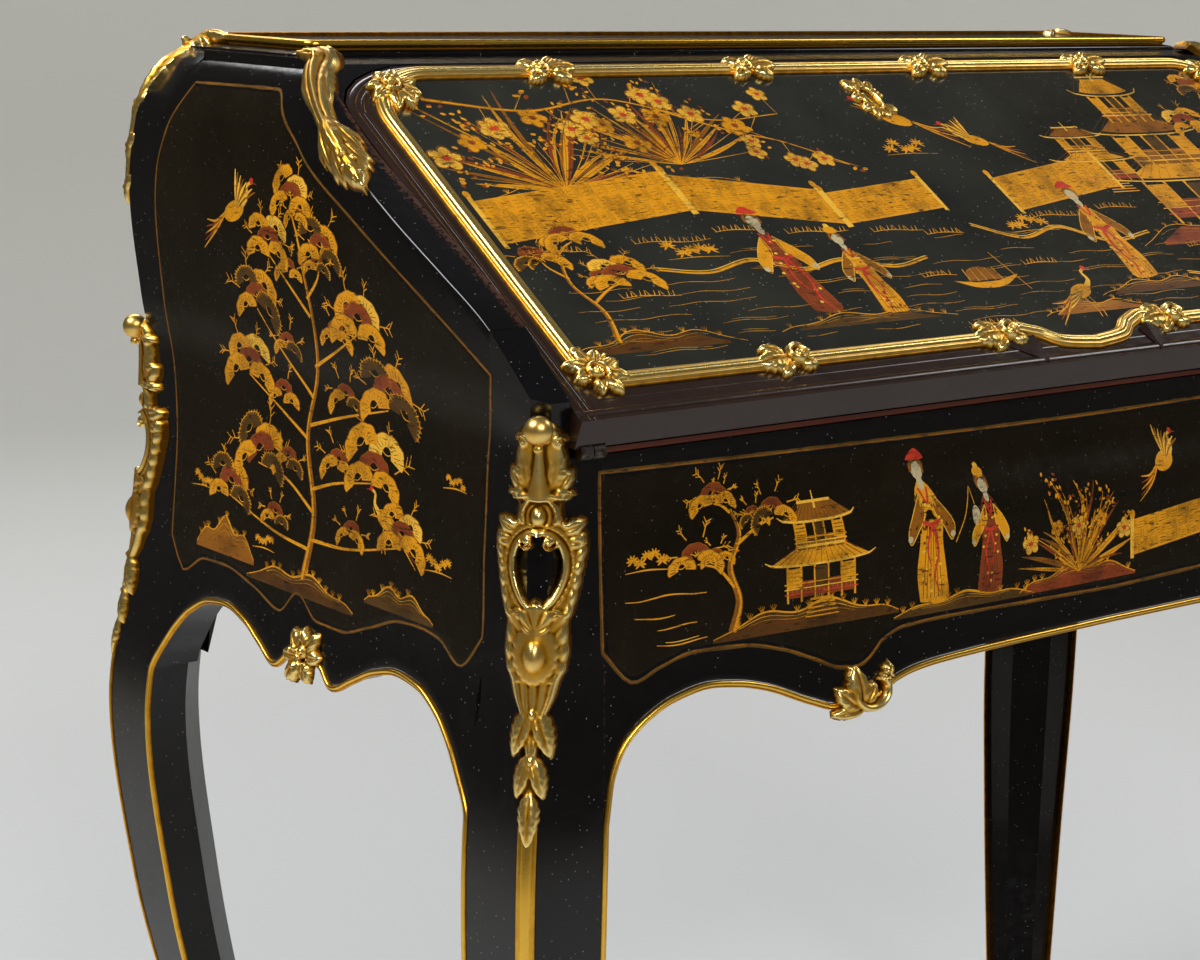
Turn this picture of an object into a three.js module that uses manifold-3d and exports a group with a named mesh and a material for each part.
// A slant-front writing desk on four curved legs, in millimetres.
// X runs to the right, Y to the back and Z up; the origin is on the floor under the middle.
// The pieces are drawn from the middle of the carcass, and the last step centres the whole desk.
import * as THREE from 'three';
import { mergeVertices } from 'three/addons/utils/BufferGeometryUtils.js';
import Module from 'manifold-3d';

const wasm = await Module();
wasm.setup();

// Carcass, measured between the sharp corner lines at the writing level
const deskHeight = 930;
const bodyWidth = 898;
const bodyDepth = 430;
const riseHeight = 208;
const sideWall = 18;
const backWall = 20;
const friezeWall = 22;
const fit = 0.3;
const overrun = 4;

// Top board and the rounded shoulder below it
const topSideInset = 41;
const topSetback = 290;
const topBackInset = 17;
const topThickness = 10;
const sideShoulderInset = 36;
const backShoulderInset = 18;
const shoulderDrop = 100;
const shoulderSwell = 9;
const shoulderBlockDepth = 34;
const shoulderBlockHeight = 26;
const slopeFullness = 13;
const restWidth = 12;
const restThickness = 8;
const railGap = 1;

// Legs: how far the corner line stands out or in, and how wide the leg is
const toeInset = 60;
const toeWidth = 42;
const ankleHeight = 55;
const ankleInset = 72;
const ankleWidth = 30;
const kneeDrop = 242;
const kneeSwell = 21;
const kneeWidth = 54;
const postWidth = 44;
const arrisChamfer = 8;
const strapRowCount = 15;
const postRowCount = 8;

// Front frieze bow, zero at its top edge so that the open flap clears it
const frontBow = 20;
const bowFullDrop = 72;
const bowFreeDrop = 26;

// Aprons: the height of the arch and where it meets the legs
const apronJoinDrop = 210;
const sideApronRise = 65;
const frontApronRise = 70;

// Writing flap
const slopeRun = 1000;
const slopeRise = 661.5;
const hingeForward = 3.5;
const flapThickness = 20;
const flapLength = 321;
const flapSideGap = 1.5;
const flapCornerX = 76;
const flapCornerS = 50;
const footClearance = 2.5;
const footForward = 2;
const lipForward = 8;

// Writing bed, well and bottom board
const bedThickness = 12;
const bedFrontLip = 3;
const bedSetback = 1;
const bottomBoardThickness = 8;
const bottomBoardDrop = 120;
const wellHalfWidth = 120;
const wellSetback = 55;
const wellDepth = 120;
const wellWall = 6;
const wellCoverThickness = 6;
const wellCoverLap = 6;
const wellCoverTravel = 112;
const slideGap = 0.6;
const fingerNotch = 16;

// Pigeonhole case with its drawers
const caseSideGap = 45;
const caseFrontGap = 27;
const caseTopDrop = 40;
const caseBoard = 7;
const drawerRowHeight = 50;
const drawerCount = 3;
const pigeonholeCount = 5;
const drawerWall = 6;
const drawerGap = 1;
const drawerBackRoom = 6;
const knobRadius = 7;
const knobLength = 14;
const knobNeckRadius = 3;

// Flap hardware
const barrelRadius = 4.5;
const barrelPinRadius = 1.8;
const barrelBoreRadius = 2.1;
const barrelLength = 17;
const barrelSideGap = 5;
const hingeLeafThickness = 1.5;
const hingeLeafLength = 24;
const staySideGap = 32;
const stayArm = 70;
const stayLift = 5;
const stayThickness = 3;
const stayHeight = 9;
const staySlotHeight = 4.6;
const stayStudRadius = 2;
const stayEndMargin = 10;
const staySlotWidth = 12;
const stayEar = 3;
const stayEarMargin = 0.5;
const stayStudReach = 1;
const stayHeadRim = 1;
const lockWidth = 62;
const lockDepth = 46;
const lockSetback = 1;
const lockThickness = 9;
const boltInset = 1.5;
const boltWidth = 16;
const boltThickness = 5;
const boltLength = 30;
const boltThrow = 7;

// Gilt mounts
const strapProud = 1.4;
const sabotHeight = 58;
const sabotWall = 2.2;
const sabotFloor = 3;
const chuteRise = 19;
const chuteTailDrop = 2;
const chuteHalfWidth = 27;
const chuteProud = 9;
const chuteEdge = 2.4;
const chuteBallRadius = 8;
const apronBeadRadius = 2;
const topBeadRadius = 3;
const frameHalfWidth = 5;
const frameProud = 4;
const frameInsetX = 24;
const frameInsetTop = 10;
const frameBottomS = 31;
const frameCornerS = 42;
const lobeDip = 13;
const lobeRise = 7;
const lobeHalfWidth = 79;
const leafHalfWidth = 18;
const leafHalfHeight = 19;
const leafProud = 7;
const frontLeafInset = 225;
const frontLeafHalfWidth = 22;
const frontLeafHalfHeight = 14;
const acanthusSetback = 153;
const acanthusHalfWidth = 12;
const acanthusProud = 6;
const claspHalfWidth = 13;
const claspProud = 7;
const escutcheonHalfWidth = 15;
const escutcheonHalfHeight = 22;
const escutcheonProud = 4;
const keyholeHalfWidth = 2.4;
const keyholeDrop = 11;
const keyholeRise = 7;
const keyDepth = 6;
const escutcheonDrop = 46;

const halfWidth = bodyWidth / 2;
const halfDepth = bodyDepth / 2;
const writingHeight = deskHeight - riseHeight;
const topWidth = bodyWidth - 2 * topSideInset;
const topFrontY = topSetback - halfDepth;
const topBackY = halfDepth - topBackInset;
const shoulderHeight = deskHeight - shoulderDrop;
const kneeHeight = writingHeight - kneeDrop;
const apronJoinHeight = writingHeight - apronJoinDrop;
const bottomBoardTop = writingHeight - bottomBoardDrop;
const wellFrontY = wellSetback - halfDepth;
const chuteTopHeight = writingHeight + chuteRise;
const chuteTailHeight = apronJoinHeight - chuteTailDrop;
const frontLeafX = halfWidth - frontLeafInset;
const acanthusEndY = acanthusSetback - halfDepth;
const bodyTop = deskHeight - topThickness;
const escutcheonS = flapLength - escutcheonDrop;
const hingeY = -halfDepth - hingeForward;
const slopeAngle = Math.atan2(slopeRise, slopeRun);
const slopeTangent = slopeRise / slopeRun;
const flapLift = flapThickness / Math.cos(slopeAngle);
const innerX = halfWidth - sideWall;
const caseHalfWidth = innerX - caseSideGap;
const caseFrontY = topFrontY - caseFrontGap;
const caseTopHeight = deskHeight - caseTopDrop;
const barrelEndX = innerX - barrelSideGap;
const stayX = innerX - staySideGap;
const innerBackY = halfDepth - backWall;
const bedTop = writingHeight;
const apronFloor = apronJoinHeight - sideApronRise;

const materials = {
  lacquer: new THREE.MeshStandardMaterial({ color: 0x0b0b0d, roughness: 0.12, metalness: 0 }),
  flapLacquer: new THREE.MeshStandardMaterial({ color: 0x15120f, roughness: 0.18, metalness: 0 }),
  wood: new THREE.MeshStandardMaterial({ color: 0x5a2a18, roughness: 0.5, metalness: 0 }),
  interior: new THREE.MeshStandardMaterial({ color: 0x7a4a28, roughness: 0.45, metalness: 0 }),
  gilt: new THREE.MeshStandardMaterial({ color: 0xc9a24a, roughness: 0.3, metalness: 1 }),
  steel: new THREE.MeshStandardMaterial({ color: 0x6d6a6c, roughness: 0.4, metalness: 1 }),
};

const desk = new THREE.Group();
const flap = new THREE.Group();
flap.position.set(0, hingeY, writingHeight);
flap.rotation.x = slopeAngle;
desk.add(flap);

// Adds one named sub-part to its group
function addPart(group, name, material, solid) {
  const mesh = new THREE.Mesh(geometryOf(solid), material);
  mesh.name = name;
  group.add(mesh);
}

function geometryOf(solid) {
  const { vertProperties, triVerts } = solid.getMesh();
  const geometry = new THREE.BufferGeometry();
  geometry.setAttribute('position', new THREE.BufferAttribute(vertProperties, 3));
  geometry.setIndex(new THREE.BufferAttribute(triVerts, 1));
  geometry.computeVertexNormals();
  return geometry;
}

function solidOf(geometry) {
  geometry.deleteAttribute('normal');
  geometry.deleteAttribute('uv');
  const merged = mergeVertices(geometry);
  return new wasm.Manifold(new wasm.Mesh({
    numProp: 3,
    vertProperties: new Float32Array(merged.attributes.position.array),
    triVerts: new Uint32Array(merged.index.array),
  }));
}

function box(minX, maxX, minY, maxY, minZ, maxZ) {
  const geometry = new THREE.BoxGeometry(maxX - minX, maxY - minY, maxZ - minZ);
  geometry.translate((minX + maxX) / 2, (minY + maxY) / 2, (minZ + maxZ) / 2);
  return solidOf(geometry);
}

// Prism of an outline of [across, up] points, from one depth to the other along the named axis
function prism(points, axis, from, to) {
  const shape = new THREE.Shape(points.map(([a, b]) => new THREE.Vector2(a, b)));
  const geometry = new THREE.ExtrudeGeometry(shape, { depth: to - from, bevelEnabled: false });
  geometry.translate(0, 0, from);
  const turn = new THREE.Matrix4();
  const x = new THREE.Vector3(1, 0, 0);
  const y = new THREE.Vector3(0, 1, 0);
  const z = new THREE.Vector3(0, 0, 1);
  if (axis === 'x') turn.makeBasis(y, z, x);
  if (axis === 'y') turn.makeBasis(x.clone().negate(), z, y);
  geometry.applyMatrix4(turn);
  return solidOf(geometry);
}

// An outline in X and Z, pushed through Y
function frontPrism(points, from, to) {
  return prism(points.map(([a, b]) => [-a, b]).reverse(), 'y', from, to);
}

function cylinder(radius, axis, from, to, centre, segments = 16) {
  const geometry = new THREE.CylinderGeometry(radius, radius, to - from, segments);
  geometry.translate(0, (from + to) / 2, 0);
  if (axis === 'x') geometry.rotateZ(-Math.PI / 2);
  if (axis === 'z') geometry.rotateX(Math.PI / 2);
  geometry.translate(...centre);
  return solidOf(geometry);
}

function ellipsoid(radii, centre, segments = 8) {
  const geometry = new THREE.SphereGeometry(1, segments, segments - 2);
  geometry.rotateX(Math.PI / 2);
  geometry.scale(...radii);
  geometry.translate(...centre);
  return solidOf(geometry);
}

// Closed solid through rings of points; the end rings are filled from their flat outlines
function loft(rings, flatOutlines, closed = false) {
  const count = rings[0].length;
  const positions = rings.flat().flatMap((p) => [p.x, p.y, p.z]);
  const faces = [];
  const spans = closed ? rings.length : rings.length - 1;
  for (let i = 0; i < spans; i += 1) {
    const low = i * count;
    const high = ((i + 1) % rings.length) * count;
    for (let j = 0; j < count; j += 1) {
      const k = (j + 1) % count;
      faces.push(low + j, low + k, high + k, low + j, high + k, high + j);
    }
  }
  if (!closed) {
    const last = (rings.length - 1) * count;
    const flats = flatOutlines.map((points) => points.map(([a, b]) => new THREE.Vector2(a, b)));
    const turned = (points) => THREE.ShapeUtils.isClockWise(points);
    for (const [points, offset, atEnd] of [[flats[0], 0, false], [flats[1], last, true]]) {
      for (const [a, b, c] of THREE.ShapeUtils.triangulateShape(points, [])) {
        const forward = atEnd !== turned(points);
        faces.push(offset + a, offset + (forward ? b : c), offset + (forward ? c : b));
      }
    }
  }
  return wound(positions, faces);
}

// Turns the faces outward when the rings ran the other way round
function wound(positions, faces) {
  const corner = (i) => new THREE.Vector3().fromArray(positions, 3 * i);
  let volume = 0;
  for (let i = 0; i < faces.length; i += 3) {
    volume += corner(faces[i]).dot(corner(faces[i + 1]).cross(corner(faces[i + 2])));
  }
  if (volume < 0) faces.reverse();
  const geometry = new THREE.BufferGeometry();
  geometry.setAttribute('position', new THREE.Float32BufferAttribute(positions, 3));
  geometry.setIndex(faces);
  return solidOf(geometry);
}

// Smooth curve through [place, value] rows that never overshoots them
function curveThrough(rows) {
  const steps = rows.slice(1).map(([p, v], i) => (v - rows[i][1]) / (p - rows[i][0]));
  const slopes = rows.map((row, i) => {
    if (i === 0) return steps[0];
    if (i === rows.length - 1) return steps[i - 1];
    if (steps[i - 1] * steps[i] <= 0) return 0;
    return (2 * steps[i - 1] * steps[i]) / (steps[i - 1] + steps[i]);
  });
  return (place) => {
    if (place <= rows[0][0]) return rows[0][1];
    if (place >= rows[rows.length - 1][0]) return rows[rows.length - 1][1];
    const i = rows.findIndex((row, n) => n > 0 && place <= row[0]) - 1;
    const span = rows[i + 1][0] - rows[i][0];
    const t = (place - rows[i][0]) / span;
    const rise = rows[i][1] * (1 + 2 * t) * (1 - t) ** 2 + rows[i + 1][1] * t * t * (3 - 2 * t);
    return rise + span * (slopes[i] * t * (1 - t) ** 2 - slopes[i + 1] * t * t * (1 - t));
  };
}

function between(low, high, share) {
  return low + (high - low) * share;
}

function evenly(low, high, count) {
  return Array.from({ length: count + 1 }, (_, i) => between(low, high, i / count));
}

// Shares of the rise from ankle to knee: height, how much of the swell, how much of the width
const legRiseShares = [[0.15, 0.24, 0.24], [0.435, 0.645, 0.62], [0.72, 0.89, 0.92]];
const waistSwellShare = 0.33;
const lowerShoulderShares = [0.35, 0.45];
const shoulderShares = [[0.5, 0.12], [0.82, 0.5], [0.93, 0.74], [1, 1]];

function swellCurve(shoulderInset) {
  const rows = [[0, -toeInset], [ankleHeight, -ankleInset]];
  for (const [height, swell] of legRiseShares) {
    rows.push([between(ankleHeight, kneeHeight, height), between(-ankleInset, kneeSwell, swell)]);
  }
  rows.push([kneeHeight, kneeSwell]);
  rows.push([(kneeHeight + writingHeight) / 2, kneeSwell * waistSwellShare]);
  rows.push([writingHeight, 0]);
  const [lowShare, lowSwell] = lowerShoulderShares;
  rows.push([between(writingHeight, shoulderHeight, lowShare), shoulderSwell * lowSwell]);
  rows.push([shoulderHeight, shoulderSwell]);
  for (const [height, drop] of shoulderShares) {
    rows.push([between(shoulderHeight, bodyTop, height), shoulderSwell - shoulderInset * drop]);
  }
  return curveThrough(rows);
}

const sideSwell = swellCurve(sideShoulderInset);
const endSwell = swellCurve(backShoulderInset);
const legWidth = curveThrough([
  [0, toeWidth],
  [ankleHeight, ankleWidth],
  ...legRiseShares.map(([height, , width]) => [
    between(ankleHeight, kneeHeight, height),
    between(ankleWidth, kneeWidth, width),
  ]),
  [kneeHeight, kneeWidth],
  [writingHeight, postWidth],
]);

// The straight line of the flap's outer face, as a height for each Y
function slopeHeight(y) {
  return writingHeight + (y - hingeY) * slopeTangent + flapLift;
}

// Body envelope: a rounded block between two heights, standing out by grow
const shoulderRows = [0.25, 0.5, 0.68, 0.82, 0.93, 1].map((s) => between(shoulderHeight, bodyTop, s));
const strapLow = sabotHeight + fit;
const strapHigh = chuteTailHeight - fit;
const legRows = [ankleHeight, ...evenly(strapLow, strapHigh, strapRowCount),
  ...evenly(strapHigh, writingHeight, postRowCount).slice(1)];
const upperRows = [...evenly(writingHeight, shoulderHeight, 4).slice(1), ...shoulderRows];
const bodyRows = [apronFloor, ...legRows.filter((z) => z > apronFloor), ...upperRows];

function envelope(grow) {
  const rings = bodyRows.map((z, i) => {
    const x = halfWidth + sideSwell(z) + grow;
    const y = halfDepth + endSwell(z) + grow;
    const height = i === bodyRows.length - 1 ? z + grow : z;
    return [[-x, -y], [x, -y], [x, y], [-x, y]].map(([a, b]) => new THREE.Vector3(a, b, height));
  });
  const flat = [[-1, -1], [1, -1], [1, 1], [-1, 1]];
  return loft(rings, [flat, flat]);
}

// Side outline above the apron: the front post's cap, the full slope edge and the top
const slopeFullShares = [[0.05, 0.35], [0.1, 0.75], [0.18, 1], [0.32, 0.8], [0.5, 0.4], [0.72, 0]];
const capHeight = slopeHeight(-halfDepth) + footForward;
const slopeTopY = topFrontY - sideShoulderInset;

function slopeEdge(grow) {
  const edge = [[-halfDepth - backWall, capHeight + grow], [-halfDepth, capHeight + grow]];
  for (const [run, full] of slopeFullShares) {
    const y = between(-halfDepth, slopeTopY, run);
    edge.push([y, slopeHeight(y) + slopeFullness * full + grow]);
  }
  edge.push([slopeTopY, slopeHeight(slopeTopY) + grow]);
  edge.push([topFrontY, bodyTop + overrun + grow]);
  return edge;
}

// Arch outlines under the body: shares of the half span and of the arch's rise
const sideApronShares = [[0, 0.83], [0.1, 0.78], [0.18, 0.63], [0.28, 0.76], [0.4, 0.92], [0.53, 1],
  [0.65, 0.96], [0.77, 0.8], [0.86, 0.58], [0.94, 0.29], [1, 0]];
const frontApronShares = [[0, 0.9], [0.2, 0.89], [0.37, 0.86], [0.43, 0.83], [0.48, 0.76], [0.51, 0.66],
  [0.545, 0.64], [0.585, 0.63], [0.63, 0.71], [0.71, 0.9], [0.76, 0.97], [0.81, 1], [0.87, 0.94],
  [0.92, 0.81], [0.96, 0.62], [0.985, 0.36], [1, 0]];

function legInner(half, swell, z) {
  return half + swell(z) - legWidth(z);
}

const sideSpan = legInner(halfDepth, endSwell, apronJoinHeight);
const frontSpan = legInner(halfWidth, sideSwell, apronJoinHeight);

function apronCurve(shares, span, rise) {
  const half = shares.map(([across, up]) => [across * span, apronJoinHeight + up * rise]);
  const left = half.slice(1).reverse().map(([a, z]) => [-a, z]);
  return [...left, ...half];
}

// A leg's cross-section at one height, grown by a clearance or a wall
const innerFlatShare = 0.56;

function legRing(signX, signY, z, grow) {
  const width = legWidth(z) + 2 * grow;
  const flat = width * innerFlatShare;
  const x = halfWidth + sideSwell(z) + grow;
  const y = halfDepth + endSwell(z) + grow;
  const inner = [[width, 0], [width, flat], [flat, width], [0, width]];
  const section = [[arrisChamfer, 0], ...inner, [0, arrisChamfer]];
  return section.map(([u, v]) => new THREE.Vector3(signX * (x - u), signY * (y - v), z));
}

function legSolid(signX, signY, heights, grow) {
  const rings = heights.map((z) => legRing(signX, signY, z, grow));
  const flats = [rings[0], rings[rings.length - 1]].map((ring) => ring.map((p) => [p.x, p.y]));
  return loft(rings, flats);
}

const corners = [
  ['front_left', -1, -1],
  ['front_right', 1, -1],
  ['back_left', -1, 1],
  ['back_right', 1, 1],
];
const frontPostTop = capHeight + slopeFullness + overrun;
const frontHeights = [sabotFloor + fit, ...legRows, frontPostTop];
const backHeights = [sabotFloor + fit, ...legRows, ...upperRows.slice(0, -1), bodyTop - fit];

function aboveSlope(grow) {
  const edge = slopeEdge(grow);
  const high = deskHeight + overrun;
  return [...edge, [topFrontY, high], [-halfDepth - backWall, high]];
}

// The room that one leg and its post take from the walls beside it
function legRoom(signX, signY) {
  const heights = signY < 0 ? frontHeights : backHeights;
  return legSolid(signX, signY, [...heights, heights[heights.length - 1] + overrun], fit);
}

function slopeCutter(grow) {
  return prism(aboveSlope(grow), 'x', -bodyWidth, bodyWidth);
}

function makeLegs() {
  const cutter = slopeCutter(0);
  for (const [place, signX, signY] of corners) {
    const atFront = signY < 0;
    let leg = legSolid(signX, signY, atFront ? frontHeights : backHeights, 0);
    if (atFront) {
      const reach = [innerX, innerX - 2 * postWidth].map((x) => signX * x);
      const [near, far] = [Math.min(...reach), Math.max(...reach)];
      const shelf = writingHeight - bedFrontLip;
      leg = leg.subtract(cutter).subtract(box(near, far, -bodyDepth, 0, shelf, deskHeight));
    }
    addPart(desk, `leg_${place}`, materials.lacquer, leg);
  }
}

// Sides: the wall between the posts, its shoulder under the top board and the flap's rest
const restEndShares = [0.2, 0.86];

function makeSides() {
  const body = envelope(0);
  const apron = apronCurve(sideApronShares, sideSpan, sideApronRise);
  const backLimit = halfDepth - postWidth / 2;
  const edge = slopeEdge(0).slice(0, -1).filter(([y]) => y > -backLimit);
  const outline = [...apron.slice().reverse(), [-backLimit, apronJoinHeight], [-backLimit, edge[0][1]]];
  outline.push(...edge);
  outline.push([topFrontY, bodyTop - fit], [backLimit, bodyTop - fit], [backLimit, apronJoinHeight]);
  const restPoints = restEndShares.map((share) => share * flapLength);
  const restLine = (s, depth) => {
    const along = [Math.cos(slopeAngle), Math.sin(slopeAngle)];
    const y = hingeY + s * along[0] + depth * along[1];
    return [y, writingHeight + s * along[1] - depth * along[0]];
  };
  const rest = [
    restLine(restPoints[0], fit),
    restLine(restPoints[1], fit),
    restLine(restPoints[1], restThickness),
    restLine(restPoints[0], restThickness),
  ];
  for (const [place, sign] of [['left', -1], ['right', 1]]) {
    const slab = (from, to) => [Math.min(sign * from, sign * to), Math.max(sign * from, sign * to)];
    const outer = halfWidth + kneeSwell + overrun;
    const wall = prism(outline, 'x', ...slab(innerX, outer)).intersect(body);
    const blockX = slab(innerX - shoulderBlockDepth, innerX + overrun);
    const blockTop = bodyTop - fit;
    const blockLow = bodyTop - shoulderBlockHeight;
    const block = box(...blockX, topFrontY + fit, halfDepth - backWall, blockLow, blockTop);
    const strip = prism(rest, 'x', ...slab(innerX - restWidth, innerX + overrun));
    let side = wall.add(block.intersect(body)).add(strip);
    for (const signY of [-1, 1]) side = side.subtract(legRoom(sign, signY));
    addPart(desk, `side_${place}`, materials.lacquer, side);
  }
}

// Bow of the frieze: nothing at its top edge, full further down, greatest in the middle
function bowAt(x, z) {
  const drop = THREE.MathUtils.clamp((writingHeight - z - bowFreeDrop) / (bowFullDrop - bowFreeDrop), 0, 1);
  const across = 1 - (x / (halfWidth - postWidth)) ** 2;
  return frontBow * drop * drop * (3 - 2 * drop) * Math.max(across, 0);
}

const friezeTop = writingHeight - bedFrontLip - fit;
const friezeColumns = 12;

function makeFrieze() {
  const apron = apronCurve(frontApronShares, frontSpan, frontApronRise);
  const limit = halfWidth - postWidth / 2;
  const outline = [...apron, [limit, apronJoinHeight], [limit, friezeTop], [-limit, friezeTop],
    [-limit, apronJoinHeight]];
  const friezeRows = bodyRows.filter((z) => z <= writingHeight);
  const rings = friezeRows.map((z) => {
    const reach = halfWidth - postWidth;
    const front = [-halfWidth, ...evenly(-reach, reach, friezeColumns), halfWidth]
      .map((x) => new THREE.Vector3(x, -halfDepth - endSwell(z) - bowAt(x, z), z));
    const back = -halfDepth + friezeWall;
    return [...front, new THREE.Vector3(halfWidth, back, z), new THREE.Vector3(-halfWidth, back, z)];
  });
  const flats = [rings[0], rings[rings.length - 1]].map((ring) => ring.map((p) => [p.x, p.y]));
  let frieze = loft(rings, flats).intersect(frontPrism(outline, -bodyDepth, 0));
  for (const sign of [-1, 1]) frieze = frieze.subtract(legRoom(sign, -1));
  addPart(desk, 'frieze_front', materials.lacquer, frieze);
}

function makeBack() {
  const apron = apronCurve(frontApronShares, frontSpan, frontApronRise);
  const top = bodyTop - fit;
  const limit = halfWidth - postWidth / 2;
  const topLimit = limit + shoulderSwell - sideShoulderInset;
  const outline = [...apron, [limit, apronJoinHeight], [limit, shoulderHeight], [topLimit, top],
    [-topLimit, top], [-limit, shoulderHeight], [-limit, apronJoinHeight]];
  let back = envelope(0).intersect(frontPrism(outline, innerBackY, bodyDepth));
  for (const sign of [-1, 1]) back = back.subtract(legRoom(sign, 1));
  addPart(desk, 'back_panel', materials.lacquer, back);
}

// Outline of the flap in its own plane, across and up the slope, grown by a clearance
function flapOutline(grow) {
  const x = innerX - flapSideGap + grow;
  const top = flapLength + grow;
  const points = [[-x, -flapLength], [x, -flapLength], [x, top - flapCornerS]];
  const corner = evenly(0, Math.PI / 2, 6).slice(1, -1)
    .map((a) => [x - flapCornerX * (1 - Math.cos(a)), top - flapCornerS * (1 - Math.sin(a))]);
  const topRight = [x - flapCornerX, top];
  const mirrored = [...corner, topRight].reverse().map(([a, s]) => [-a, s]);
  return [...points, ...corner, topRight, ...mirrored, [-x, top - flapCornerS]];
}

function onSlope(solid) {
  const turned = solid.rotate([THREE.MathUtils.radToDeg(slopeAngle), 0, 0]);
  return turned.translate([0, hingeY, writingHeight]);
}

// The brow between the slope and the top board, as shares of the run and of the rise
const browShares = [0.35, 0.6];

function makeTop() {
  const board = box(-topWidth / 2, topWidth / 2, topFrontY, topBackY, bodyTop, deskHeight);
  addPart(desk, 'top_board', materials.lacquer, board);
  const lowY = slopeTopY - flapCornerS;
  const section = [
    [lowY, slopeHeight(lowY)],
    [slopeTopY, slopeHeight(slopeTopY)],
    [
      between(slopeTopY, topFrontY, browShares[0]),
      between(slopeHeight(slopeTopY), bodyTop, browShares[1]),
    ],
    [topFrontY, bodyTop - fit],
    [topFrontY, bodyTop - flapThickness],
    [slopeTopY, slopeHeight(slopeTopY) - flapLift],
    [lowY, slopeHeight(lowY) - flapLift],
  ];
  const outline = prism(flapOutline(railGap), 'none', -flapThickness, 2 * flapThickness);
  const rail = prism(section.reverse(), 'x', -innerX + fit, innerX - fit);
  const trimmed = rail.intersect(envelope(0)).subtract(onSlope(outline)).subtract(lockMortise());
  addPart(desk, 'top_rail', materials.lacquer, trimmed);
}

// The pocket in the rail that the lock's bolt shoots into
function lockMortise() {
  const half = boltWidth / 2 + slideGap;
  const low = boltInset - slideGap;
  const high = low + boltThickness + 2 * slideGap;
  return onSlope(box(-half, half, flapLength, flapLength + 2 * boltThrow, low, high));
}

// Writing bed with its well opening, the cover's channel and the two stay slots; the bottom
// board below it carries the four walls of the well
const bedSideX = innerX - fit;
const stayTailShare = 0.75;
const guideAngle = Math.asin(stayLift / stayArm);
const stayPivotAngle = slopeAngle - guideAngle;
const guideY = hingeY + stayArm * Math.cos(guideAngle);
const guideZ = writingHeight + stayLift;

function makeBed() {
  const back = innerBackY - fit;
  const front = -halfDepth + bedSetback;
  const lip = friezeWall - bedSetback + fit;
  const section = [
    [front, bedTop], [front, bedTop - bedFrontLip], [front + lip, bedTop - bedFrontLip],
    [front + lip, bedTop - bedThickness], [back, bedTop - bedThickness], [back, bedTop],
  ];
  const postRoom = legWidth(bedTop - bedThickness) + fit;
  const postInner = halfWidth - postRoom;
  let bed = prism(section, 'x', -bedSideX, bedSideX);
  for (const sign of [-1, 1]) {
    const span = (a, b) => [Math.min(sign * a, sign * b), Math.max(sign * a, sign * b)];
    const postBox = span(postInner, bodyWidth);
    bed = bed.subtract(box(...postBox, -bodyDepth, -halfDepth + postRoom, 0, bedTop + overrun));
    bed = bed.subtract(box(...postBox, halfDepth - postRoom - fit, bodyDepth, 0, bedTop + overrun));
    const slotX = span(stayX - staySlotWidth / 2, stayX + staySlotWidth / 2);
    const slotY = [guideY - stayHeight, guideY + stayArm * stayTailShare];
    bed = bed.subtract(box(...slotX, ...slotY, 0, bedTop + overrun));
  }
  const well = box(-wellHalfWidth, wellHalfWidth, wellFrontY, wellFrontY + wellDepth, 0, bedTop + overrun);
  const channelHalf = wellHalfWidth + wellCoverLap;
  const channelFloor = bedTop - wellCoverThickness - slideGap;
  const channelEnd = wellFrontY + wellDepth + wellCoverLap + wellCoverTravel + overrun;
  const channelFront = wellFrontY - wellCoverLap;
  const channel = box(-channelHalf, channelHalf, channelFront, channelEnd, channelFloor, deskHeight);
  addPart(desk, 'writing_bed', materials.interior, bed.subtract(well).subtract(channel));

  const half = channelHalf - slideGap;
  const coverFront = wellFrontY - wellCoverLap + slideGap;
  const coverBack = wellFrontY + wellDepth + wellCoverLap;
  const coverTop = bedTop - fit;
  const cover = box(-half, half, coverFront, coverBack, coverTop - wellCoverThickness + fit, coverTop);
  const notchAt = [0, coverFront - fingerNotch / 2, 0];
  const notch = cylinder(fingerNotch, 'z', -deskHeight, deskHeight, notchAt, 20);
  addPart(desk, 'well_cover', materials.interior, cover.subtract(notch));

  const boardSide = innerX - fit;
  const boardFront = -halfDepth + friezeWall + fit;
  const boardBack = innerBackY - fit;
  const boardLow = bottomBoardTop - bottomBoardThickness;
  let board = box(-boardSide, boardSide, boardFront, boardBack, boardLow, bottomBoardTop);
  for (const [, signX, signY] of corners) board = board.subtract(legRoom(signX, signY));
  const [wellLow, wellHigh] = [bottomBoardTop, bedTop - bedThickness - fit];
  const wellBackY = wellFrontY + wellDepth;
  const wellSide = wellHalfWidth + wellWall;
  const wellEnds = [wellFrontY - wellWall, wellBackY + wellWall];
  const walls = box(-wellSide, wellSide, ...wellEnds, boardLow, wellHigh);
  const hollow = box(-wellHalfWidth, wellHalfWidth, wellFrontY, wellBackY, wellLow, wellHigh + overrun);
  addPart(desk, 'bottom_board', materials.wood, board.add(walls).subtract(hollow));
}

// Pigeonhole case: a row of drawers below a row of open holes
const caseBottom = bedTop + fit;
const caseBackY = innerBackY - fit;
const drawerFloor = caseBottom + caseBoard;
const drawerCeiling = drawerFloor + drawerRowHeight;
const holeFloor = drawerCeiling + caseBoard;
const holeCeiling = caseTopHeight - caseBoard;

function cells(count) {
  const clear = (2 * caseHalfWidth - (count + 1) * caseBoard) / count;
  return Array.from({ length: count }, (_, i) => {
    const start = -caseHalfWidth + caseBoard + i * (clear + caseBoard);
    return [start, start + clear];
  });
}

// A drawer knob's profile from its seat: shares of its radius and of its length
const knobShares = [[0.8, 0.5], [1, 0.7], [0.7, 0.92]];
const knobNeckShare = 0.35;

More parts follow.
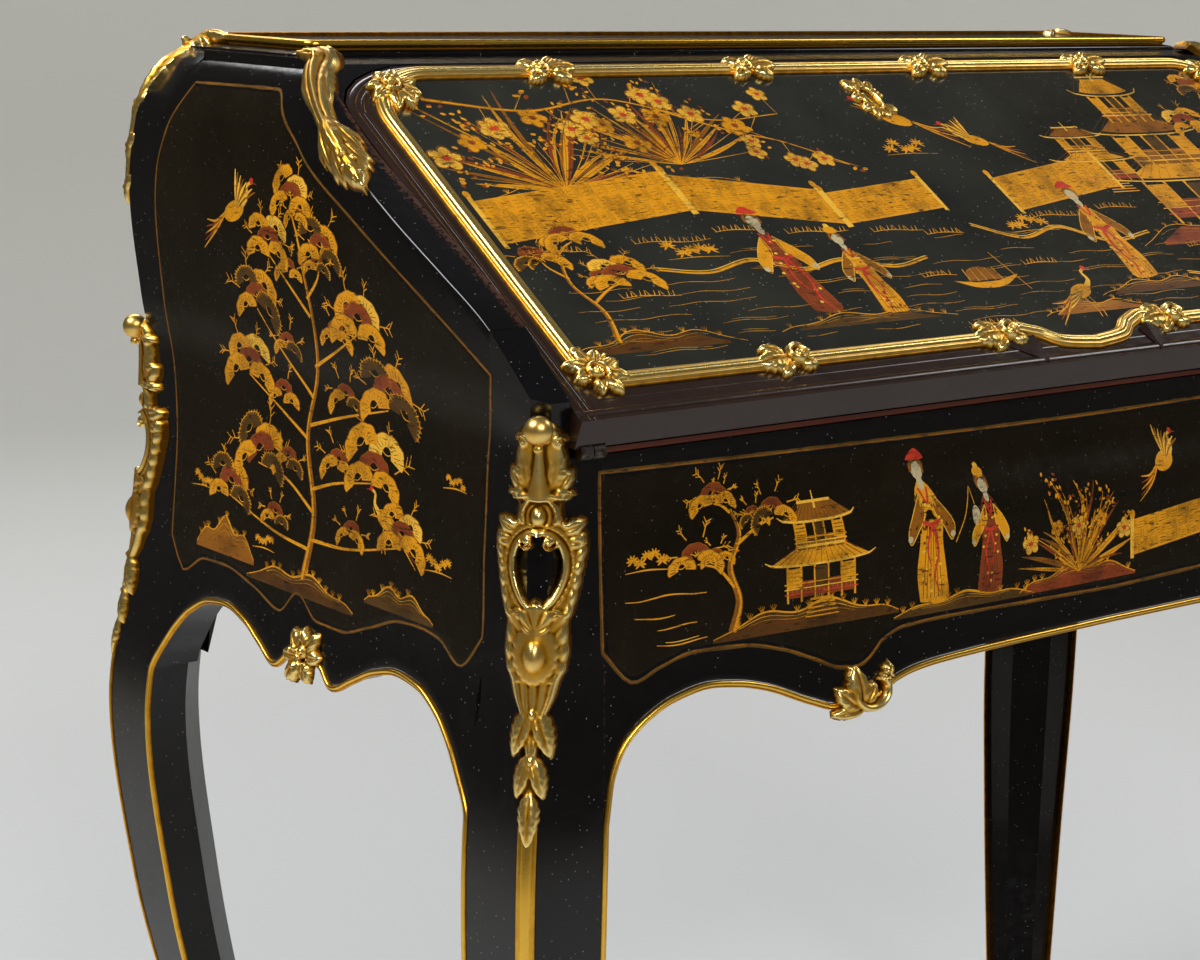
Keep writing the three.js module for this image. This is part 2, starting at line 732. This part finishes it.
function makeKnob() {
  const head = knobShares.map(([radius, height]) => [radius * knobRadius, height * knobLength]);
  const neck = [[0, 0], [knobNeckRadius, 0], [knobNeckRadius, knobLength * knobNeckShare]];
  const profile = [...neck, ...head, [0, knobLength]];
  const points = profile.map(([radius, height]) => new THREE.Vector2(radius, height));
  const knob = new THREE.LatheGeometry(points, 12);
  knob.rotateX(Math.PI);
  return knob;
}

function makeCase() {
  let unit = box(-caseHalfWidth, caseHalfWidth, caseFrontY, caseBackY, caseBottom, caseTopHeight);
  const wallY = caseBackY - caseBoard;
  for (const [from, to] of cells(drawerCount)) {
    unit = unit.subtract(box(from, to, caseFrontY - overrun, wallY, drawerFloor, drawerCeiling));
  }
  for (const [from, to] of cells(pigeonholeCount)) {
    unit = unit.subtract(box(from, to, caseFrontY - overrun, wallY, holeFloor, holeCeiling));
  }
  addPart(desk, 'pigeonhole_case', materials.interior, unit);
  cells(drawerCount).forEach(([from, to], i) => {
    const [left, right] = [from + drawerGap, to - drawerGap];
    const [front, back] = [caseFrontY + fit, wallY - drawerBackRoom];
    const [floor, top] = [drawerFloor + fit, drawerCeiling - drawerGap];
    const block = box(left, right, front, back, floor, top);
    const inside = box(left + drawerWall, right - drawerWall, front + drawerWall, back - drawerWall,
      floor + drawerWall, top + overrun);
    addPart(desk, `drawer_${i + 1}`, materials.interior, block.subtract(inside));
    const knob = makeKnob();
    knob.translate((left + right) / 2, front - fit, (floor + top) / 2);
    addPart(desk, `drawer_knob_${i + 1}`, materials.gilt, solidOf(knob));
  });
}

// Flap in its own frame: across, up the slope and out from its inner face
function flapPoint(dy, dz) {
  const [c, s] = [Math.cos(slopeAngle), Math.sin(slopeAngle)];
  return [dy * c + dz * s, dz * c - dy * s];
}

function hingeSpan(sign, share0, share1) {
  const inner = barrelEndX - barrelLength;
  const ends = [between(inner, barrelEndX, share0), between(inner, barrelEndX, share1)];
  return [Math.min(sign * ends[0], sign * ends[1]), Math.max(sign * ends[0], sign * ends[1])];
}

// The slot that the key goes through, from the escutcheon into the lock
function keyhole() {
  const depths = [lockThickness - keyDepth, flapThickness + fit + 2 * escutcheonProud];
  const ends = [escutcheonS - keyholeDrop, escutcheonS + keyholeRise];
  return box(-keyholeHalfWidth, keyholeHalfWidth, ...ends, ...depths);
}

function makeFlap() {
  const footInner = flapPoint(footClearance / slopeTangent, footClearance);
  const footFront = flapPoint(-footForward, footClearance);
  const lip = flapPoint(-lipForward, -lipForward * slopeTangent + flapLift);
  const section = [footInner, footFront, lip, [flapLength, flapThickness], [flapLength, 0]];
  const slab = prism(section.reverse(), 'x', -halfWidth, halfWidth);
  let panel = slab.intersect(prism(flapOutline(0), 'none', -flapThickness, 2 * flapThickness));
  for (const sign of [-1, 1]) {
    const [from, to] = hingeSpan(sign, 0, 1);
    const room = [from - slideGap, to + slideGap];
    panel = panel.subtract(cylinder(barrelRadius + slideGap, 'x', ...room, [0, 0, 0], 20));
    const leafTop = hingeLeafLength + fit;
    panel = panel.subtract(box(...room, 0, leafTop, -overrun, hingeLeafThickness + fit));
  }
  const lockLow = flapLength - lockDepth - fit;
  const lockHalf = lockWidth / 2 + fit;
  const lockRoom = lockThickness + fit;
  panel = panel.subtract(box(-lockHalf, lockHalf, lockLow, flapLength + overrun, -overrun, lockRoom));
  addPart(flap, 'flap_panel', materials.flapLacquer, panel.subtract(keyhole()));
}

// Reeded frame round the painted field: its half width and top, in the flap's own frame
const frameX = innerX - flapSideGap - frameInsetX;
const frameTop = flapLength - frameInsetTop;
// The middle lobe from the centre outwards: shares of its half width and of its dip or rise
const lobeShares = [[0, -1], [0.35, -0.7], [0.6, 0.35], [0.78, 1], [1, 0.1], [1.25, 0]];
const frameRunShares = [0.35, 0.75];
// The lower corner's curve, from its start: shares across and up the corner
const frameCornerShares = [[0, 0.02], [0.8, 0.18], [1, 1]];
const frameEdgeShare = 0.6;
// Clasps along the bottom between the lobe and the side, and along the top from the middle
const claspRunShare = 0.56;
const claspTopShares = [0.64, 0.21];
const claspCornerShare = 0.3;
const claspTopCornerShare = 0.3;
const claspHeightShare = 0.72;

function framePath() {
  const corner = frameCornerS / 3;
  const points = lobeShares
    .map(([across, up]) => [across * lobeHalfWidth, frameBottomS + up * (up < 0 ? lobeDip : lobeRise)]);
  for (const share of frameRunShares) points.push([between(lobeHalfWidth, frameX, share), frameBottomS]);
  for (const [across, up] of frameCornerShares) {
    points.push([frameX - corner * (1 - across), between(frameBottomS, frameCornerS + corner, up)]);
  }
  points.push([frameX, between(frameCornerS, frameTop, 1 / 2)], [frameX, frameTop - flapCornerS]);
  for (const a of evenly(0, Math.PI / 2, 4).slice(1)) {
    points.push([frameX - flapCornerS * (1 - Math.cos(a)), frameTop - flapCornerS * (1 - Math.sin(a))]);
  }
  points.push([frameX / 2, frameTop]);
  const mirrored = points.slice(1).reverse().map(([a, s]) => [-a, s]);
  return [...points, [0, frameTop], ...mirrored];
}

function makeFlapFrame() {
  const path = framePath();
  const edge = frameProud * frameEdgeShare;
  const section = [[-frameHalfWidth, fit], [frameHalfWidth, fit], [frameHalfWidth, edge], [0, frameProud],
    [-frameHalfWidth, edge]];
  const rings = path.map((point, i) => {
    const before = path[(i + path.length - 1) % path.length];
    const after = path[(i + 1) % path.length];
    const run = [after[0] - before[0], after[1] - before[1]];
    const length = Math.hypot(...run);
    const side = [run[1] / length, -run[0] / length];
    return section.map(([w, h]) => new THREE.Vector3(point[0] + w * side[0], point[1] + w * side[1],
      flapThickness + h));
  });
  let frame = loft(rings, null, true);
  const below = box(-bodyWidth, bodyWidth, -bodyWidth, bodyWidth, -flapThickness, flapThickness + fit);
  const inward = claspHalfWidth * claspCornerShare;
  const rounded = flapCornerS * claspTopCornerShare;
  const clasps = [
    [lobeHalfWidth, frameBottomS],
    [between(lobeHalfWidth, frameX, claspRunShare), frameBottomS],
    [frameX - inward, frameBottomS + inward],
    [frameX - rounded, frameTop - rounded],
    ...claspTopShares.map((share) => [share * frameX, frameTop]),
  ];
  const radii = [claspHalfWidth, claspHalfWidth * claspHeightShare, claspProud];
  for (const [a, s] of clasps) {
    for (const sign of [-1, 1]) frame = frame.add(ellipsoid(radii, [sign * a, s, flapThickness]));
  }
  addPart(flap, 'flap_frame_moulding', materials.gilt, frame.subtract(below));
}

// Lock let into the inner face, its bolt, and the openwork escutcheon outside
function makeLock() {
  const low = flapLength - lockDepth;
  const top = flapLength - lockSetback;
  const boltHalf = boltWidth / 2;
  const boltLow = boltInset;
  const caseBlock = box(-lockWidth / 2, lockWidth / 2, low, top, 0, lockThickness);
  const tunnel = box(-boltHalf - slideGap, boltHalf + slideGap, top - boltLength - slideGap, top + overrun,
    boltLow - slideGap, boltLow + boltThickness + slideGap);
  addPart(flap, 'flap_lock', materials.gilt, caseBlock.subtract(tunnel).subtract(keyhole()));
  addPart(flap, 'lock_bolt', materials.steel, box(-boltHalf, boltHalf, top - boltLength, top, boltLow,
    boltLow + boltThickness));
  const base = flapThickness + fit;
  const radii = [escutcheonHalfWidth, escutcheonHalfHeight, escutcheonProud];
  const plate = ellipsoid(radii, [0, escutcheonS, base], 14);
  const under = box(-bodyWidth, bodyWidth, 0, bodyWidth, -flapThickness, base);
  addPart(flap, 'key_escutcheon', materials.gilt, plate.subtract(under).subtract(keyhole()));
}

// End hinges: one half on the post with the pin, the other on the flap
const knuckleShares = [0.48, 0.52];

function makeHinges() {
  for (const [place, sign] of [['left', -1], ['right', 1]]) {
    const fixedSpan = hingeSpan(sign, 0, knuckleShares[0]);
    const movingSpan = hingeSpan(sign, knuckleShares[1], 1);
    const fullSpan = hingeSpan(sign, 0, 1);
    const axis = [0, hingeY, writingHeight];
    const shelf = writingHeight - bedFrontLip + fit;
    const leaf = box(...fixedSpan, hingeY, -halfDepth + hingeLeafLength, shelf, shelf + hingeLeafThickness);
    const fixed = cylinder(barrelRadius, 'x', ...fixedSpan, axis).add(leaf)
      .add(cylinder(barrelPinRadius, 'x', ...fullSpan, axis, 12));
    addPart(desk, `hinge_post_${place}`, materials.steel, fixed);
    const knuckle = cylinder(barrelRadius, 'x', ...movingSpan, [0, 0, 0])
      .add(box(...movingSpan, 0, hingeLeafLength, 0, hingeLeafThickness));
    const boreSpan = [movingSpan[0] - overrun, movingSpan[1] + overrun];
    const bore = cylinder(barrelBoreRadius, 'x', ...boreSpan, [0, 0, 0], 12);
    addPart(flap, `hinge_flap_${place}`, materials.steel, knuckle.subtract(bore));
  }
}

// Slotted stays: pivoted on the flap, sliding on a stud beside the well
function makeStays() {
  const pivotS = stayArm * Math.cos(slopeAngle - stayPivotAngle);
  const pivotN = -stayLift;
  const closedReach = 2 * stayArm * Math.sin((stayPivotAngle - guideAngle) / 2);
  const openReach = 2 * stayArm * Math.cos(guideAngle);
  const barLength = openReach + stayEndMargin;
  const barAngle = (stayPivotAngle + guideAngle) / 2 - Math.PI / 2;
  const pivotY = hingeY + stayArm * Math.cos(stayPivotAngle);
  const pivotZ = writingHeight + stayArm * Math.sin(stayPivotAngle);
  for (const [place, sign] of [['left', -1], ['right', 1]]) {
    const span = (a, b) => [Math.min(sign * a, sign * b), Math.max(sign * a, sign * b)];
    const barX = span(stayX - stayThickness / 2, stayX + stayThickness / 2);
    const half = stayHeight / 2;
    const pin = stayStudRadius + fit;
    let bar = box(...barX, 0, barLength, -half, half).add(cylinder(half, 'x', ...barX, [0, 0, 0]));
    bar = bar.subtract(cylinder(pin, 'x', barX[0] - overrun, barX[1] + overrun, [0, 0, 0], 12));
    const slotStart = closedReach - stayEndMargin;
    const slotHalf = staySlotHeight / 2;
    const slotEnd = openReach + stayStudRadius + slideGap;
    bar = bar.subtract(box(barX[0] - overrun, barX[1] + overrun, slotStart, slotEnd, -slotHalf, slotHalf));
    const placed = bar.rotate([THREE.MathUtils.radToDeg(barAngle), 0, 0]).translate([0, pivotY, pivotZ]);
    addPart(desk, `stay_${place}`, materials.steel, placed);

    const outer = stayX + stayThickness / 2 + fit;
    const inner = stayX - stayThickness / 2 - fit;
    const ear = span(outer, outer + stayEar);
    const lugHalf = stayHeight / 2 - stayEarMargin;
    const headRadius = stayStudRadius + stayHeadRim;
    const head = span(inner - 2 * stayStudReach, inner);
    const pivot = [0, pivotS, pivotN];
    const lug = box(...ear, pivotS - lugHalf, pivotS + lugHalf, pivotN - lugHalf, -fit)
      .add(cylinder(stayStudRadius, 'x', ...span(inner - stayStudReach, outer + stayStudReach), pivot, 12))
      .add(cylinder(headRadius, 'x', ...head, pivot, 12));
    addPart(flap, `stay_lug_${place}`, materials.steel, lug);
    const earInner = stayX + staySlotWidth / 2 + fit;
    const foot = bedTop + fit;
    const guide = [0, guideY, guideZ];
    const earTop = guideZ + headRadius;
    const bracket = box(...span(earInner, earInner + stayEar), guideY - half, guideY + half, foot, earTop)
      .add(box(...span(earInner, stayX + staySlotWidth), guideY - 2 * half, guideY + 2 * half, foot,
        foot + hingeLeafThickness))
      .add(cylinder(stayStudRadius, 'x', ...span(inner - stayStudReach, earInner + stayEar / 2), guide, 12))
      .add(cylinder(headRadius, 'x', ...head, guide, 12));
    addPart(desk, `stay_bracket_${place}`, materials.steel, bracket);
  }
}

// Corner mounts are drawn across and out from the sharp corner line of a leg
function cornerPoint(signX, signY, z, across, out) {
  const diagonal = Math.SQRT1_2;
  const x = halfWidth + sideSwell(z) + (out + across) * diagonal;
  const y = halfDepth + endSwell(z) + (out - across) * diagonal;
  return new THREE.Vector3(signX * x, signY * y, z);
}

const seatDepth = arrisChamfer * Math.SQRT1_2;
const seatWidthShare = 0.98;
const wingRiseShares = [0.385, 0.55];

function cornerLoft(signX, signY, rows) {
  const outlines = rows.map(([, width, proud, edge]) => {
    const flat = Math.min(seatDepth, width * seatWidthShare);
    const wing = -Math.max(width, seatDepth) + fit * Math.SQRT2;
    const crest = wing * wingRiseShares[0] + proud * wingRiseShares[1];
    return [
      [-width, wing], [-flat, -seatDepth + fit], [flat, -seatDepth + fit], [width, wing],
      [width, wing + edge], [width / 2, crest], [0, proud], [-width / 2, crest], [-width, wing + edge],
    ];
  });
  const rings = rows.map(([z], i) => outlines[i].map(([a, o]) => cornerPoint(signX, signY, z, a, o)));
  return loft(rings, [outlines[0], outlines[outlines.length - 1]]);
}

// Height share, width share, proud share of the corner mount, top to tail
const chuteShares = [[0, 0.22, 0.7], [0.06, 0.36, 0.9], [0.1, 0.56, 0.9], [0.14, 0.7, 0.8], [0.19, 0.5, 0.8],
  [0.24, 0.95, 0.7], [0.35, 1, 0.7], [0.46, 0.85, 0.7], [0.52, 0.72, 0.8], [0.6, 0.74, 0.8],
  [0.68, 0.5, 0.7], [0.7, 0.4, 0.5], [0.76, 0.5, 0.6], [0.81, 0.36, 0.5], [0.87, 0.4, 0.45],
  [0.93, 0.28, 0.4], [1, 0.14, 0.2]];
const chuteOpeningShare = 0.36;
const chuteBossShare = 0.57;
const chuteBossTallShare = 1.3;
const chuteOpeningHalfShare = 0.5;
const chuteOpeningTallShare = 1.35;
const chuteSeatShare = 0.6;
// The strip's section outside its flat back: shares of its half width
const stripShares = [0.85, 0.3];

function makeCornerMounts() {
  for (const [place, signX, signY] of corners) {
    const heights = (share) => between(chuteTopHeight, chuteTailHeight, share);
    const rows = chuteShares.map(([h, w, p]) => [heights(h), chuteHalfWidth * w, chuteProud * p, chuteEdge]);
    let chute = cornerLoft(signX, signY, rows.reverse());
    const ball = cornerPoint(signX, signY, chuteTopHeight, 0, chuteBallRadius * chuteSeatShare);
    chute = chute.add(ellipsoid([chuteBallRadius, chuteBallRadius, chuteBallRadius], ball.toArray()));
    const bossAt = cornerPoint(signX, signY, heights(chuteBossShare), 0, chuteProud * chuteSeatShare);
    const bossRadii = [chuteBallRadius, chuteBallRadius, chuteBallRadius * chuteBossTallShare];
    chute = chute.add(ellipsoid(bossRadii, bossAt.toArray()));
    const openingHalf = chuteHalfWidth * chuteOpeningHalfShare;
    const openingAt = cornerPoint(signX, signY, heights(chuteOpeningShare), 0, 0);
    const hole = new THREE.CylinderGeometry(openingHalf, openingHalf, 4 * chuteHalfWidth, 12);
    hole.scale(1, 1, chuteOpeningTallShare);
    hole.rotateZ(-Math.PI / 2);
    hole.rotateZ(Math.atan2(signY, signX));
    hole.translate(...openingAt.toArray());
    chute = chute.subtract(solidOf(hole)).subtract(legRoom(signX, signY));
    addPart(desk, `corner_mount_${place}`, materials.gilt, chute);

    const strapWidth = seatDepth - fit;
    const [shoulder, crown] = stripShares.map((share) => share * strapWidth);
    const seat = -seatDepth + fit;
    const front = [[shoulder, seat + strapProud], [crown, -strapProud]];
    const strap = [[-strapWidth, seat], [strapWidth, seat], ...front];
    strap.push(...front.reverse().map(([a, o]) => [-a, o]));
    const strapHeights = legRows.filter((z) => z >= strapLow && z <= strapHigh);
    const rings = strapHeights.map((z) => strap.map(([a, o]) => cornerPoint(signX, signY, z, a, o)));
    addPart(desk, `arris_strip_${place}`, materials.gilt, loft(rings, [strap, strap]));

    const outer = legSolid(signX, signY, evenly(0, sabotHeight, 4), sabotWall);
    const inner = legSolid(signX, signY, [sabotFloor, ...evenly(ankleHeight, sabotHeight + overrun, 2)], fit);
    addPart(desk, `sabot_${place}`, materials.gilt, outer.subtract(inner));
  }
}

// A bead swept along a path of points, with its cross-section turned to the path
function sweep(path, radius, sides, closed) {
  const flat = Array.from({ length: sides }, (_, i) => {
    const turn = (2 * Math.PI * i) / sides;
    return [radius * Math.cos(turn), radius * Math.sin(turn)];
  });
  let normal = null;
  const rings = path.map((point, i) => {
    const before = closed ? path[(i + path.length - 1) % path.length] : path[Math.max(i - 1, 0)];
    const after = closed ? path[(i + 1) % path.length] : path[Math.min(i + 1, path.length - 1)];
    const along = after.clone().sub(before).normalize();
    if (normal === null) {
      const upright = Math.abs(along.z) > Math.SQRT1_2;
      normal = upright ? new THREE.Vector3(1, 0, 0) : new THREE.Vector3(0, 0, 1);
    }
    const side = along.clone().cross(normal).normalize();
    normal = side.clone().cross(along).normalize();
    return flat.map(([a, b]) => point.clone().addScaledVector(side, a).addScaledVector(normal, b));
  });
  return loft(rings, [flat, flat], closed);
}

// Path of the bead under a body face: up one leg's inner edge, round the arch and down the other
function edgePath(shares, span, rise, half, swell) {
  const heights = legRows.filter((z) => z >= strapLow && z <= strapHigh);
  const legPart = heights.map((z) => [legInner(half, swell, z), z]);
  const arch = apronCurve(shares, span, rise).filter(([a]) => a >= 0).reverse();
  const halfPath = [...legPart, ...arch];
  const mirrored = halfPath.slice(0, -1).reverse().map(([a, z]) => [-a, z]);
  const whole = [...halfPath, ...mirrored];
  const offset = apronBeadRadius + fit;
  return whole.map((point, i) => {
    const before = whole[Math.max(i - 1, 0)];
    const after = whole[Math.min(i + 1, whole.length - 1)];
    const run = [after[0] - before[0], after[1] - before[1]];
    const length = Math.hypot(...run);
    return [point[0] - (offset * run[1]) / length, point[1] + (offset * run[0]) / length];
  });
}

function makeBeads() {
  const inset = apronBeadRadius - strapProud;
  const sidePath = edgePath(sideApronShares, sideSpan, sideApronRise, halfDepth, endSwell);
  for (const [place, sign] of [['left', -1], ['right', 1]]) {
    const path = sidePath.map(([y, z]) => new THREE.Vector3(sign * (halfWidth + sideSwell(z) - inset), y, z));
    addPart(desk, `apron_bead_${place}`, materials.gilt, sweep(path, apronBeadRadius, 5, false));
  }
  const frontPath = edgePath(frontApronShares, frontSpan, frontApronRise, halfWidth, sideSwell);
  for (const [place, sign] of [['front', -1], ['back', 1]]) {
    const path = frontPath.map(([x, z]) => {
      const bow = sign < 0 && z > apronJoinHeight ? bowAt(x, z) : 0;
      return new THREE.Vector3(x, sign * (halfDepth + endSwell(z) + bow - inset), z);
    });
    addPart(desk, `apron_bead_${place}`, materials.gilt, sweep(path, apronBeadRadius, 5, false));
  }
  const ring = [];
  const x = topWidth / 2 + topBeadRadius + fit;
  const [front, back] = [topFrontY - topBeadRadius - fit, topBackY + topBeadRadius + fit];
  const height = deskHeight - topThickness / 2;
  const arc = topBeadRadius + fit;
  for (const [cx, cy, start] of [[x, back, 0], [-x, back, 1], [-x, front, 2], [x, front, 3]]) {
    const centre = [cx - Math.sign(cx) * arc, cy - (cy === back ? arc : -arc)];
    for (const t of [0, 1 / 3, 2 / 3, 1]) {
      const turn = ((start + t) * Math.PI) / 2;
      const [across, deep] = [centre[0] + arc * Math.cos(turn), centre[1] + arc * Math.sin(turn)];
      ring.push(new THREE.Vector3(across, deep, height));
    }
  }
  addPart(desk, 'top_edge_bead', materials.gilt, sweep(ring, topBeadRadius, 8, true));
}

// Leaf mounts on the aprons, each standing on its bead
const frontLeafRiseShare = 0.68;

function makeLeaves() {
  const body = envelope(fit);
  const seatShare = sideApronShares[0][1];
  const stand = 2 * apronBeadRadius;
  for (const [place, sign] of [['left', -1], ['right', 1]]) {
    const z = apronJoinHeight + sideApronRise * seatShare;
    const x = sign * (halfWidth + sideSwell(z));
    const leaf = ellipsoid([leafProud, leafHalfWidth, leafHalfHeight], [x + sign * stand, 0, z], 12);
    const cut = [x + sign * (stand - apronBeadRadius / 2), x - 2 * sign * leafProud].sort((a, b) => a - b);
    const reach = 2 * leafHalfHeight;
    const behind = box(...cut, -leafHalfWidth, leafHalfWidth, z - reach, z + reach);
    addPart(desk, `side_leaf_${place}`, materials.gilt, leaf.subtract(behind).subtract(body));
    const frontZ = apronJoinHeight + frontApronRise * frontLeafRiseShare;
    const y = -halfDepth - endSwell(frontZ) - bowAt(frontLeafX, frontZ) - stand;
    const radii = [frontLeafHalfWidth, leafProud, frontLeafHalfHeight];
    const front = ellipsoid(radii, [sign * frontLeafX, y, frontZ], 12);
    const frontBehind = box(-halfWidth, halfWidth, y + apronBeadRadius / 2, 0, 0, deskHeight);
    addPart(desk, `front_leaf_${place}`, materials.gilt, front.subtract(frontBehind));
  }
}

// Acanthus mounts on the upper corners: share along the mount, width share, proud share
const acanthusShares = [[0, 0.6, 0.5], [0.12, 0.9, 1], [0.3, 0.8, 0.9], [0.5, 0.85, 0.8], [0.68, 0.7, 0.8],
  [0.8, 1, 1], [0.92, 0.8, 0.9], [1, 0.3, 0.4]];
const acanthusRiseShare = 0.6;

function makeUpperMounts() {
  const body = envelope(fit).subtract(slopeCutter(fit));
  const board = box(-topWidth / 2 - fit, topWidth / 2 + fit, topFrontY - fit, topBackY + fit, bodyTop - fit,
    deskHeight + fit);
  const beadRoom = 2 * (topBeadRadius + fit);
  const beadX = topWidth / 2 + beadRoom;
  const beadBlock = box(-beadX, beadX, topFrontY - beadRoom, topBackY + beadRoom, bodyTop - topBeadRadius,
    deskHeight + fit);
  for (const [place, sign] of [['left', -1], ['right', 1]]) {
    const start = topFrontY - 2 * topBeadRadius - acanthusHalfWidth / 2;
    const frontRows = acanthusShares.map(([t, w, p]) => {
      const y = between(start, acanthusEndY, t);
      const z = Math.min(slopeHeight(y), bodyTop);
      return [new THREE.Vector3(sign * (halfWidth + sideSwell(z)), y, z), w, p];
    });
    const backRows = acanthusShares.map(([t, w, p]) => {
      const z = between(bodyTop - topBeadRadius - fit, shoulderHeight - shoulderSwell, t);
      return [new THREE.Vector3(sign * (halfWidth + sideSwell(z)), halfDepth + endSwell(z), z), w, p];
    });
    const slopeOut = new THREE.Vector3(sign, -Math.sin(slopeAngle), Math.cos(slopeAngle)).normalize();
    const backOut = new THREE.Vector3(sign, 1, 0).normalize();
    for (const [name, rows, out] of [['front', frontRows, slopeOut], ['back', backRows, backOut]]) {
      const flat = [];
      const rings = rows.map(([point, w, p], i) => {
        const [before, after] = [rows[Math.max(i - 1, 0)][0], rows[Math.min(i + 1, rows.length - 1)][0]];
        const along = after.clone().sub(before).normalize();
        const side = along.clone().cross(out).normalize();
        const width = acanthusHalfWidth * w;
        const proud = acanthusProud * p;
        const back = -width - proud / 2;
        const edge = -width + proud / 3;
        const crest = -width / 3 + proud * acanthusRiseShare;
        const section = [[-width, back], [width, back], [width, edge], [width / 2, crest], [0, proud],
          [-width / 2, crest], [-width, edge]];
        flat[i] = section;
        return section.map(([a, o]) => point.clone().addScaledVector(side, a).addScaledVector(out, o));
      });
      const shape = loft(rings, [flat[0], flat[flat.length - 1]]);
      const mount = shape.subtract(body).subtract(board).subtract(beadBlock);
      addPart(desk, `upper_mount_${name}_${place}`, materials.gilt, mount);
    }
  }
}

makeLegs();
makeSides();
makeFrieze();
makeBack();
makeTop();
makeBed();
makeCase();
makeFlap();
makeFlapFrame();
makeLock();
makeHinges();
makeStays();
makeCornerMounts();
makeBeads();
makeLeaves();
makeUpperMounts();

// The front mounts stand out further than the back ones, so the desk moves back to its true middle
const extent = new THREE.Box3().setFromObject(desk, true);
desk.position.y = -extent.getCenter(new THREE.Vector3()).y;

export default desk;
